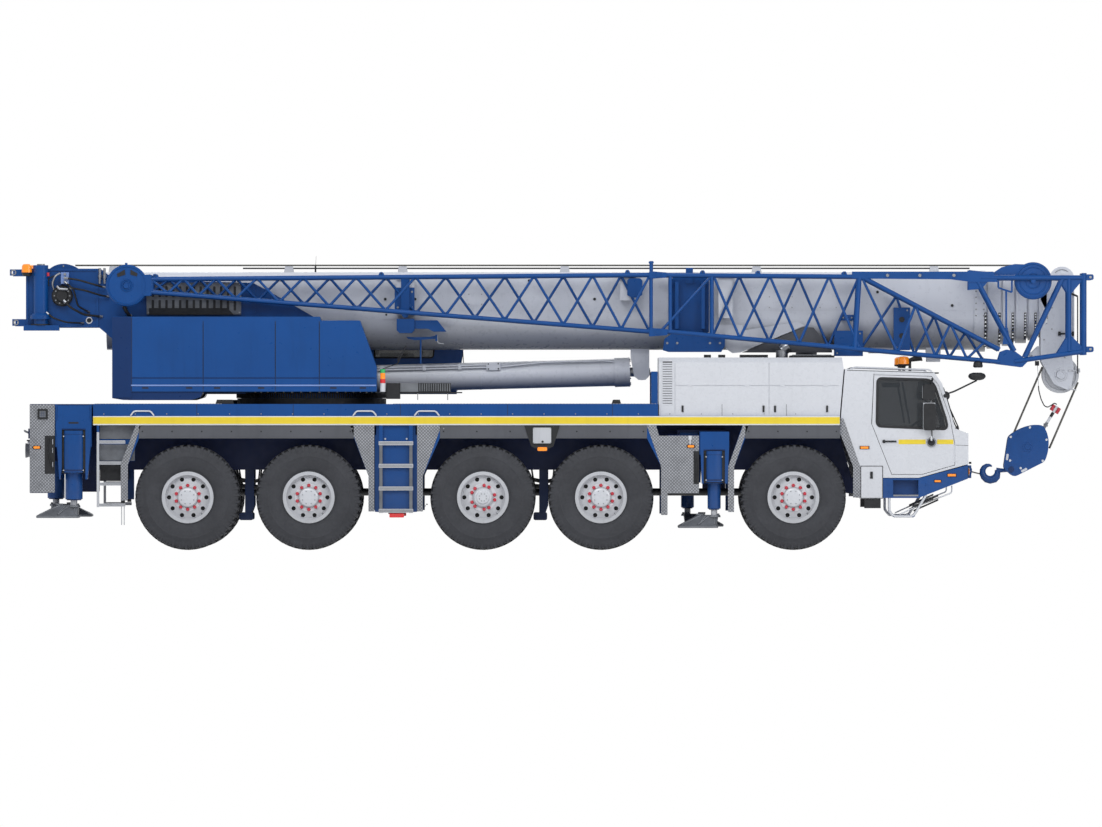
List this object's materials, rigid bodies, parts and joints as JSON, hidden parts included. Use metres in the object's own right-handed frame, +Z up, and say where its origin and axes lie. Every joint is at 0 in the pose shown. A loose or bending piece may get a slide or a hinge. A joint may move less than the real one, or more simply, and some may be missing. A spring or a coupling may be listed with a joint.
{
  "type": "mobile crane",
  "caption": "All-terrain mobile crane with telescopic boom, stowed lattice jib, hook block, outriggers, steered road wheels, engine hood and two cabs, parked ready for the road.",
  "frame": {"origin": "on the ground, under the middle of the crane's overall length and width", "axes": "+X forward, +Y to the vehicle's left, +Z up"},
  "size_m": [15.21, 2.832, 4.0308],
  "materials": {
    "tyre": "matt",
    "wheel_grey": "satin",
    "dark_metal": "matt",
    "pad_grey": "satin",
    "cab_white": "gloss",
    "boom_grey": "gloss",
    "blue": "gloss",
    "yellow": "satin",
    "red": "satin",
    "window_glass": "gloss",
    "bare_steel": "satin",
    "black_rubber": "matt",
    "chequer_plate": "satin",
    "lamp_amber": "gloss"
  },
  "bodies": {
    "carrier": {"chassis_frame": "blue", "deck": "blue", "axle_beams": "dark_metal", "engine_hood": "cab_white", "driver_cab": "cab_white", "front_bumper": "blue", "slew_ring": "dark_metal"},
    "road_wheel_1_right": {"tyre_1_right": "tyre", "wheel_1_right": "wheel_grey"},
    "steered_knuckle_1_right": {"knuckle_1_right": "dark_metal"},
    "road_wheel_1_left": {"tyre_1_left": "tyre", "wheel_1_left": "wheel_grey"},
    "steered_knuckle_1_left": {"knuckle_1_left": "dark_metal"},
    "road_wheel_2_right": {"tyre_2_right": "tyre", "wheel_2_right": "wheel_grey"},
    "steered_knuckle_2_right": {"knuckle_2_right": "dark_metal"},
    "road_wheel_2_left": {"tyre_2_left": "tyre", "wheel_2_left": "wheel_grey"},
    "steered_knuckle_2_left": {"knuckle_2_left": "dark_metal"},
    "road_wheel_3_right": {"tyre_3_right": "tyre", "wheel_3_right": "wheel_grey"},
    "road_wheel_3_left": {"tyre_3_left": "tyre", "wheel_3_left": "wheel_grey"},
    "road_wheel_4_right": {"tyre_4_right": "tyre", "wheel_4_right": "wheel_grey"},
    "steered_knuckle_4_right": {"knuckle_4_right": "dark_metal"},
    "road_wheel_4_left": {"tyre_4_left": "tyre", "wheel_4_left": "wheel_grey"},
    "steered_knuckle_4_left": {"knuckle_4_left": "dark_metal"},
    "road_wheel_5_right": {"tyre_5_right": "tyre", "wheel_5_right": "wheel_grey"},
    "steered_knuckle_5_right": {"knuckle_5_right": "dark_metal"},
    "road_wheel_5_left": {"tyre_5_left": "tyre", "wheel_5_left": "wheel_grey"},
    "steered_knuckle_5_left": {"knuckle_5_left": "dark_metal"},
    "driver_door_right": {"cab_door_right": "cab_white"},
    "driver_door_left": {"cab_door_left": "cab_white"},
    "outrigger_rear_right": {"outrigger_beam_rear_right": "blue"},
    "support_jack_rear_right": {"jack_rear_right": "pad_grey"},
    "outrigger_rear_left": {"outrigger_beam_rear_left": "blue"},
    "support_jack_rear_left": {"jack_rear_left": "pad_grey"},
    "outrigger_front_right": {"outrigger_beam_front_right": "blue"},
    "support_jack_front_right": {"jack_front_right": "pad_grey"},
    "outrigger_front_left": {"outrigger_beam_front_left": "blue"},
    "support_jack_front_left": {"jack_front_left": "pad_grey"},
    "upper": {"superstructure": "blue", "side_covers": "blue", "crane_cab": "blue"},
    "crane_door": {"crane_cab_door": "blue"},
    "hoist": {"hoist_drum": "dark_metal"},
    "boom": {"boom_base": "boom_grey", "lattice_jib": "blue"},
    "lift_cylinder": {"lift_barrel": "boom_grey"},
    "lift_cylinder_rod": {"lift_rod": "boom_grey"},
    "telescope_1": {"boom_section_1": "boom_grey"},
    "telescope_2": {"boom_section_2": "boom_grey"},
    "telescope_3": {"boom_section_3": "boom_grey"},
    "telescope_4": {"boom_section_4": "boom_grey"},
    "telescope_5": {"boom_section_5": "boom_grey"},
    "hook": {"hook_block": "blue"}
  },
  "joints": [
    {"name": "steer_1_right", "type": "hinge", "parent": "carrier", "child": "steered_knuckle_1_right", "pos_m": [3.399, -0.93, 0.737], "axis": [0, 0, 1], "range_deg": [-25, 25]},
    {"name": "spin_1_right", "type": "hinge", "parent": "steered_knuckle_1_right", "child": "road_wheel_1_right", "pos_m": [3.399, -1.155, 0.737], "axis": [0, 1, 0], "continuous": true},
    {"name": "steer_1_left", "type": "hinge", "parent": "carrier", "child": "steered_knuckle_1_left", "pos_m": [3.399, 0.93, 0.737], "axis": [0, 0, 1], "range_deg": [-25, 25]},
    {"name": "spin_1_left", "type": "hinge", "parent": "steered_knuckle_1_left", "child": "road_wheel_1_left", "pos_m": [3.399, 1.155, 0.737], "axis": [0, 1, 0], "continuous": true},
    {"name": "steer_2_right", "type": "hinge", "parent": "carrier", "child": "steered_knuckle_2_right", "pos_m": [0.706, -0.93, 0.737], "axis": [0, 0, 1], "range_deg": [-25, 25]},
    {"name": "spin_2_right", "type": "hinge", "parent": "steered_knuckle_2_right", "child": "road_wheel_2_right", "pos_m": [0.706, -1.155, 0.737], "axis": [0, 1, 0], "continuous": true},
    {"name": "steer_2_left", "type": "hinge", "parent": "carrier", "child": "steered_knuckle_2_left", "pos_m": [0.706, 0.93, 0.737], "axis": [0, 0, 1], "range_deg": [-25, 25]},
    {"name": "spin_2_left", "type": "hinge", "parent": "steered_knuckle_2_left", "child": "road_wheel_2_left", "pos_m": [0.706, 1.155, 0.737], "axis": [0, 1, 0], "continuous": true},
    {"name": "spin_3_right", "type": "hinge", "parent": "carrier", "child": "road_wheel_3_right", "pos_m": [-0.946, -1.155, 0.737], "axis": [0, 1, 0], "continuous": true},
    {"name": "spin_3_left", "type": "hinge", "parent": "carrier", "child": "road_wheel_3_left", "pos_m": [-0.946, 1.155, 0.737], "axis": [0, 1, 0], "continuous": true},
    {"name": "steer_4_right", "type": "hinge", "parent": "carrier", "child": "steered_knuckle_4_right", "pos_m": [-3.384, -0.93, 0.737], "axis": [0, 0, 1], "range_deg": [-25, 25]},
    {"name": "spin_4_right", "type": "hinge", "parent": "steered_knuckle_4_right", "child": "road_wheel_4_right", "pos_m": [-3.384, -1.155, 0.737], "axis": [0, 1, 0], "continuous": true},
    {"name": "steer_4_left", "type": "hinge", "parent": "carrier", "child": "steered_knuckle_4_left", "pos_m": [-3.384, 0.93, 0.737], "axis": [0, 0, 1], "range_deg": [-25, 25]},
    {"name": "spin_4_left", "type": "hinge", "parent": "steered_knuckle_4_left", "child": "road_wheel_4_left", "pos_m": [-3.384, 1.155, 0.737], "axis": [0, 1, 0], "continuous": true},
    {"name": "steer_5_right", "type": "hinge", "parent": "carrier", "child": "steered_knuckle_5_right", "pos_m": [-5.078, -0.93, 0.737], "axis": [0, 0, 1], "range_deg": [-25, 25]},
    {"name": "spin_5_right", "type": "hinge", "parent": "steered_knuckle_5_right", "child": "road_wheel_5_right", "pos_m": [-5.078, -1.155, 0.737], "axis": [0, 1, 0], "continuous": true},
    {"name": "steer_5_left", "type": "hinge", "parent": "carrier", "child": "steered_knuckle_5_left", "pos_m": [-5.078, 0.93, 0.737], "axis": [0, 0, 1], "range_deg": [-25, 25]},
    {"name": "spin_5_left", "type": "hinge", "parent": "steered_knuckle_5_left", "child": "road_wheel_5_left", "pos_m": [-5.078, 1.155, 0.737], "axis": [0, 1, 0], "continuous": true},
    {"name": "driver_door_right_hinge", "type": "hinge", "parent": "carrier", "child": "driver_door_right", "pos_m": [5.655, -1.292, 1.345], "axis": [0, 0, 1], "range_deg": [0, 75]},
    {"name": "driver_door_left_hinge", "type": "hinge", "parent": "carrier", "child": "driver_door_left", "pos_m": [5.655, 1.292, 1.345], "axis": [0, 0, -1], "range_deg": [0, 75]},
    {"name": "outrigger_rear_right_slide", "type": "slide", "parent": "carrier", "child": "outrigger_rear_right", "axis": [0, -1, 0], "range_m": [0, 1.85]},
    {"name": "support_jack_rear_right_slide", "type": "slide", "parent": "outrigger_rear_right", "child": "support_jack_rear_right", "axis": [0, 0, -1], "range_m": [0, 0.65]},
    {"name": "outrigger_rear_left_slide", "type": "slide", "parent": "carrier", "child": "outrigger_rear_left", "axis": [0, 1, 0], "range_m": [0, 1.85]},
    {"name": "support_jack_rear_left_slide", "type": "slide", "parent": "outrigger_rear_left", "child": "support_jack_rear_left", "axis": [0, 0, -1], "range_m": [0, 0.65]},
    {"name": "outrigger_front_right_slide", "type": "slide", "parent": "carrier", "child": "outrigger_front_right", "axis": [0, -1, 0], "range_m": [0, 1.85]},
    {"name": "support_jack_front_right_slide", "type": "slide", "parent": "outrigger_front_right", "child": "support_jack_front_right", "axis": [0, 0, -1], "range_m": [0, 0.6]},
    {"name": "outrigger_front_left_slide", "type": "slide", "parent": "carrier", "child": "outrigger_front_left", "axis": [0, 1, 0], "range_m": [0, 1.85]},
    {"name": "support_jack_front_left_slide", "type": "slide", "parent": "outrigger_front_left", "child": "support_jack_front_left", "axis": [0, 0, -1], "range_m": [0, 0.6]},
    {"name": "slew", "type": "hinge", "parent": "carrier", "child": "upper", "pos_m": [-3.367, 0, 2.125], "axis": [0, 0, 1], "continuous": true},
    {"name": "crane_door_hinge", "type": "hinge", "parent": "upper", "child": "crane_door", "pos_m": [-2.56, 1.373, 2.9], "axis": [0, 0, 1], "range_deg": [0, 90]},
    {"name": "hoist_spin", "type": "hinge", "parent": "upper", "child": "hoist", "pos_m": [-6.853, 0, 3.71], "axis": [0, 1, 0], "continuous": true},
    {"name": "luff", "type": "hinge", "parent": "upper", "child": "boom", "pos_m": [-6, 0, 3.65], "axis": [0, -1, 0], "range_deg": [0, 82]},
    {"name": "lift_cylinder_foot", "type": "hinge", "parent": "upper", "child": "lift_cylinder", "pos_m": [-3.3, 0, 2.38], "axis": [0, -1, 0], "range_deg": [0, 92.3]},
    {"name": "lift_cylinder_slide", "type": "slide", "parent": "lift_cylinder", "child": "lift_cylinder_rod", "axis": [0.9997, 0, 0.0261], "range_m": [0, 3.756]},
    {"name": "telescope_1_slide", "type": "slide", "parent": "boom", "child": "telescope_1", "axis": [1, 0, 0], "range_m": [0, 8.1]},
    {"name": "telescope_2_slide", "type": "slide", "parent": "telescope_1", "child": "telescope_2", "axis": [1, 0, 0], "range_m": [0, 8.1]},
    {"name": "telescope_3_slide", "type": "slide", "parent": "telescope_2", "child": "telescope_3", "axis": [1, 0, 0], "range_m": [0, 8.1]},
    {"name": "telescope_4_slide", "type": "slide", "parent": "telescope_3", "child": "telescope_4", "axis": [1, 0, 0], "range_m": [0, 8.1]},
    {"name": "telescope_5_slide", "type": "slide", "parent": "telescope_4", "child": "telescope_5", "axis": [1, 0, 0], "range_m": [0, 8.1]},
    {"name": "hook_swing", "type": "hinge", "parent": "telescope_5", "child": "hook", "pos_m": [7.186, 0, 2.458], "axis": [0, 1, 0], "range_deg": [0, 60]}
  ],
  "couplings": [
    {"joint": "steer_1_left", "follows": "steer_1_right", "ratio": 1},
    {"joint": "steer_2_right", "follows": "steer_1_right", "ratio": 0.75},
    {"joint": "steer_2_left", "follows": "steer_1_right", "ratio": 0.75},
    {"joint": "steer_4_right", "follows": "steer_5_right", "ratio": 0.6},
    {"joint": "steer_4_left", "follows": "steer_5_right", "ratio": 0.6},
    {"joint": "steer_5_left", "follows": "steer_5_right", "ratio": 1},
    {"joint": "lift_cylinder_foot", "follows": "luff", "ratio": 1.1251},
    {"joint": "lift_cylinder_slide", "follows": "luff", "m_per_rad": 2.624},
    {"joint": "hook_swing", "follows": "luff", "ratio": 0.722}
  ]
}
